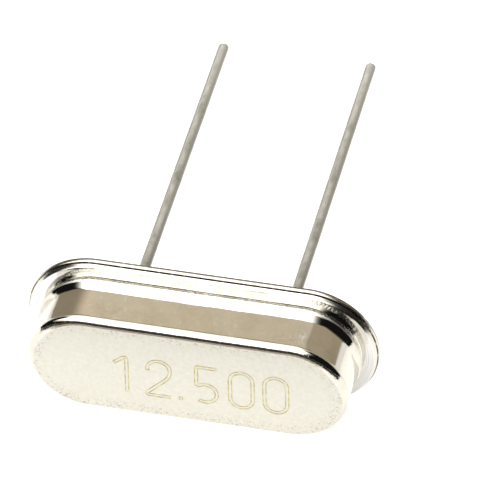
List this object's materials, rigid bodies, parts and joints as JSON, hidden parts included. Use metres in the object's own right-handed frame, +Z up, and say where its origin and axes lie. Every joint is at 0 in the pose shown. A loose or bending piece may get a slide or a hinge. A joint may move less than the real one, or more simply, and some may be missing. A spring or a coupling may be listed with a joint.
{
  "type": "quartz crystal unit",
  "caption": "Low-profile crystal unit in a long round-ended metal can on a flanged header, with parallel round wire leads for through-hole mounting.",
  "frame": {"origin": "middle of the part's bounding box, on the surface that it lies on", "axes": "+X along the can's long side, +Y away from the can towards the lead tips, +Z up; the part lies on its long side, so the leads rise 12 degrees above +Y"},
  "size_m": [0.0112, 0.0156, 0.0051],
  "materials": {
    "can_metal": "satin nickel, matte on the top face",
    "header_metal": "bright nickel plate",
    "seal_glass": "dark fused glass",
    "lead_wire": "tinned wire, lightly mottled",
    "clip_metal": "nickel-silver spring sheet",
    "quartz": "lapped quartz",
    "silver_film": "evaporated silver",
    "silver_adhesive": "silver-filled adhesive"
  },
  "bodies": {
    "root": {"can": "can_metal", "base": "header_metal", "glass_seal_left": "seal_glass", "glass_seal_right": "seal_glass", "lead_left": "lead_wire", "lead_right": "lead_wire", "clip_left": "clip_metal", "clip_right": "clip_metal", "quartz_strip": "quartz", "electrode_upper": "silver_film", "electrode_lower": "silver_film", "adhesive_left": "silver_adhesive", "adhesive_right": "silver_adhesive"}
  },
  "joints": []
}
